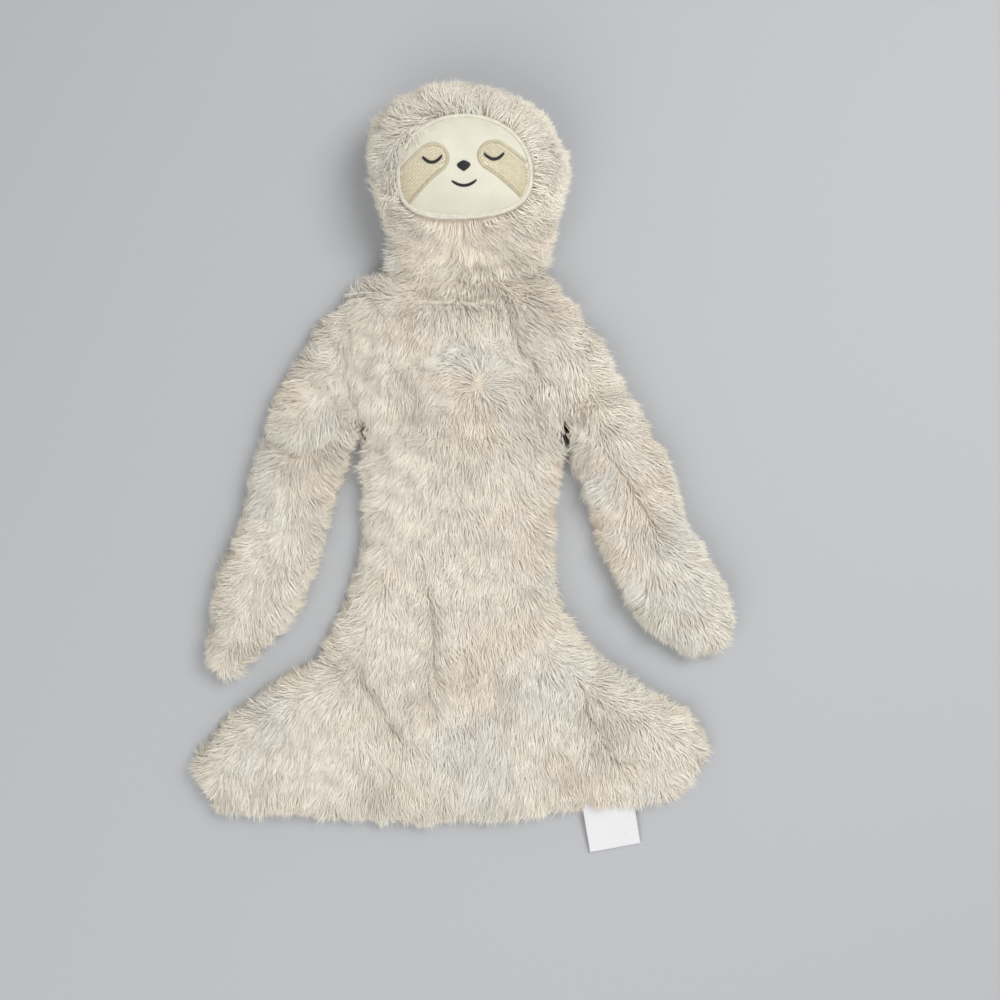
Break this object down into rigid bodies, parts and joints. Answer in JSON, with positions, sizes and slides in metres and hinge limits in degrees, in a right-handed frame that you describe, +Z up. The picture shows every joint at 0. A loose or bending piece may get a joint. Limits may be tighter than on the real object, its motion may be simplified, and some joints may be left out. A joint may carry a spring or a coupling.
{
  "type": "sloth comfort blanket",
  "caption": "Plush sloth comforter: a stuffed head with a stitched sleepy face, a padded chest, long padded arms and a flared flat blanket body with a bare hem label.",
  "frame": {"origin": "centre of the footprint on the surface the toy lies on, label tab included", "axes": "+Z up out of the face, from the flat back; +Y from the hem to the crown; +X towards the toy's own left arm"},
  "size_m": [0.3086, 0.4368, 0.0694],
  "materials": {
    "long_pile_fabric": "long soft cream pile",
    "wadding": "loose polyester fibre",
    "face_plush": "short brushed pile",
    "border_thread": "satin stitch, soft sheen",
    "tan_thread": "fill stitch, soft sheen",
    "dark_thread": "satin stitch, soft sheen",
    "white_satin": "woven satin tape, bare"
  },
  "bodies": {
    "chest": {"chest_front_cover": "long_pile_fabric", "chest_back_cover": "long_pile_fabric", "chest_stuffing": "wadding"},
    "head": {"head_front_cover": "long_pile_fabric", "head_back_cover": "long_pile_fabric", "head_stuffing": "wadding", "face_panel": "face_plush", "face_edge_stitching": "border_thread", "left_eye_patch": "tan_thread", "right_eye_patch": "tan_thread", "left_eyelid_stitching": "dark_thread", "right_eyelid_stitching": "dark_thread", "nose_stitching": "dark_thread", "mouth_stitching": "dark_thread"},
    "left_arm": {"left_arm_front_panel": "long_pile_fabric", "left_arm_back_panel": "long_pile_fabric", "left_arm_padding": "wadding"},
    "right_arm": {"right_arm_front_panel": "long_pile_fabric", "right_arm_back_panel": "long_pile_fabric", "right_arm_padding": "wadding"},
    "blanket": {"blanket_front_panel": "long_pile_fabric", "blanket_back_panel": "long_pile_fabric", "blanket_batting": "wadding"},
    "label": {"label_tab": "white_satin"}
  },
  "joints": [
    {"name": "head_nod", "type": "hinge", "parent": "chest", "child": "head", "pos_m": [0.001, 0.114, 0.009], "axis": [1, 0, 0], "range_deg": [-60, 65]},
    {"name": "blanket_fold", "type": "hinge", "parent": "chest", "child": "blanket", "pos_m": [0.00075, 0.028, 0.009], "axis": [-1, 0, 0], "range_deg": [-75, 75]},
    {"name": "left_arm_fold", "type": "hinge", "parent": "chest", "child": "left_arm", "pos_m": [0.0645, 0.059, 0.009], "axis": [0.1437, 0.9896, 0], "range_deg": [-70, 70]},
    {"name": "right_arm_fold", "type": "hinge", "parent": "chest", "child": "right_arm", "pos_m": [-0.06875, 0.059, 0.009], "axis": [0.3139, -0.9494, 0], "range_deg": [-70, 70]},
    {"name": "label_flip", "type": "hinge", "parent": "blanket", "child": "label", "pos_m": [0.08469, -0.1906, 0.005], "axis": [-0.9855, -0.1695, 0], "range_deg": [-60, 90]}
  ]
}
